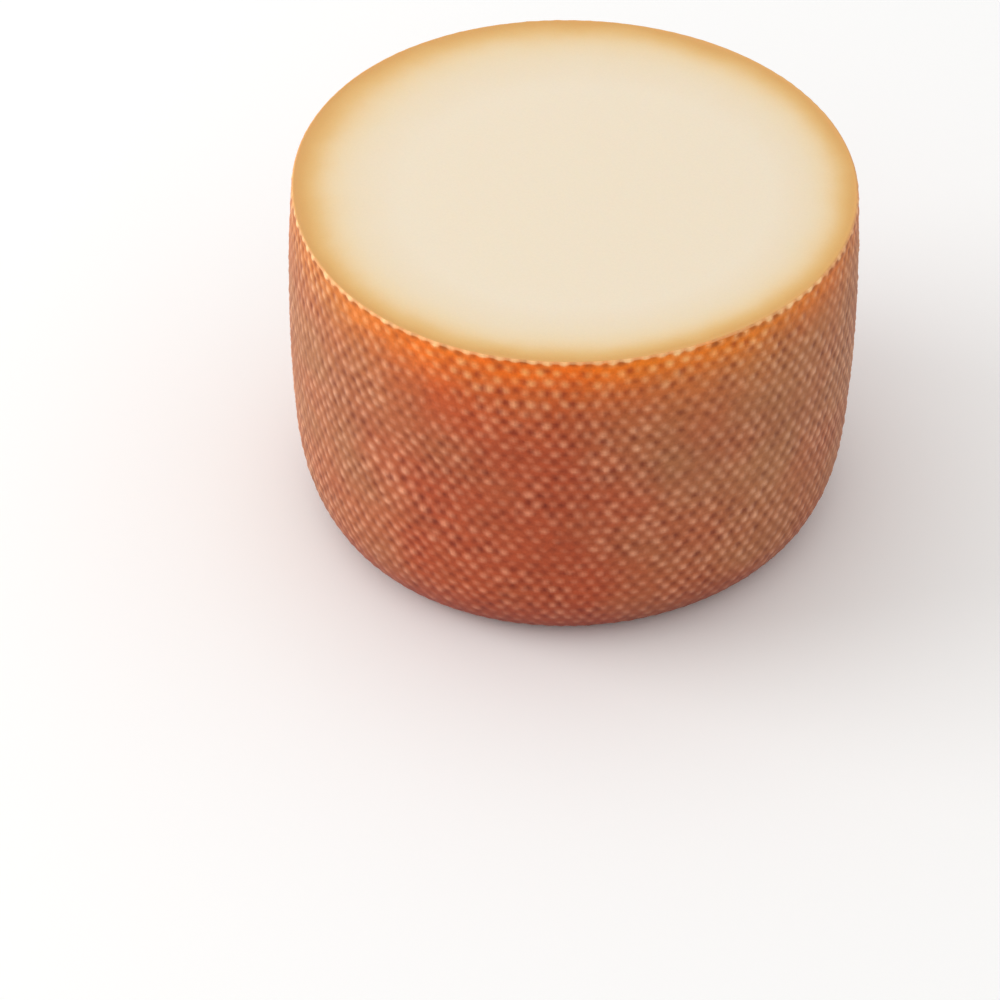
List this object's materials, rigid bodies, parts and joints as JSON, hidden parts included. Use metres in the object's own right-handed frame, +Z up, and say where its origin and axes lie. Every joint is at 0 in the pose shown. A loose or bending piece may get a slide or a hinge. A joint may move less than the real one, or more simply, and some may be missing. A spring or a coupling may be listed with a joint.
{
  "type": "tete de moine cheese",
  "caption": "Drum of washed-rind monastery cheese with its lid cut off: a flat pale cut face, a cloth-printed brown rind and a rounded base edge, ready for a scraper.",
  "frame": {"origin": "centre of the flat base, on the surface that the cheese stands on", "axes": "+Z up along the drum's axis to the cut face; -Y is the front, the side that the picture shows"},
  "size_m": [0.1161, 0.1178, 0.0736],
  "materials": {
    "washed_rind": "damp, waxy terracotta-brown rind printed by the mould's cloth; the flat cut face is smooth ivory paste that turns golden next to the rind"
  },
  "bodies": {
    "root": {"cheese_drum": "washed_rind"}
  },
  "joints": []
}
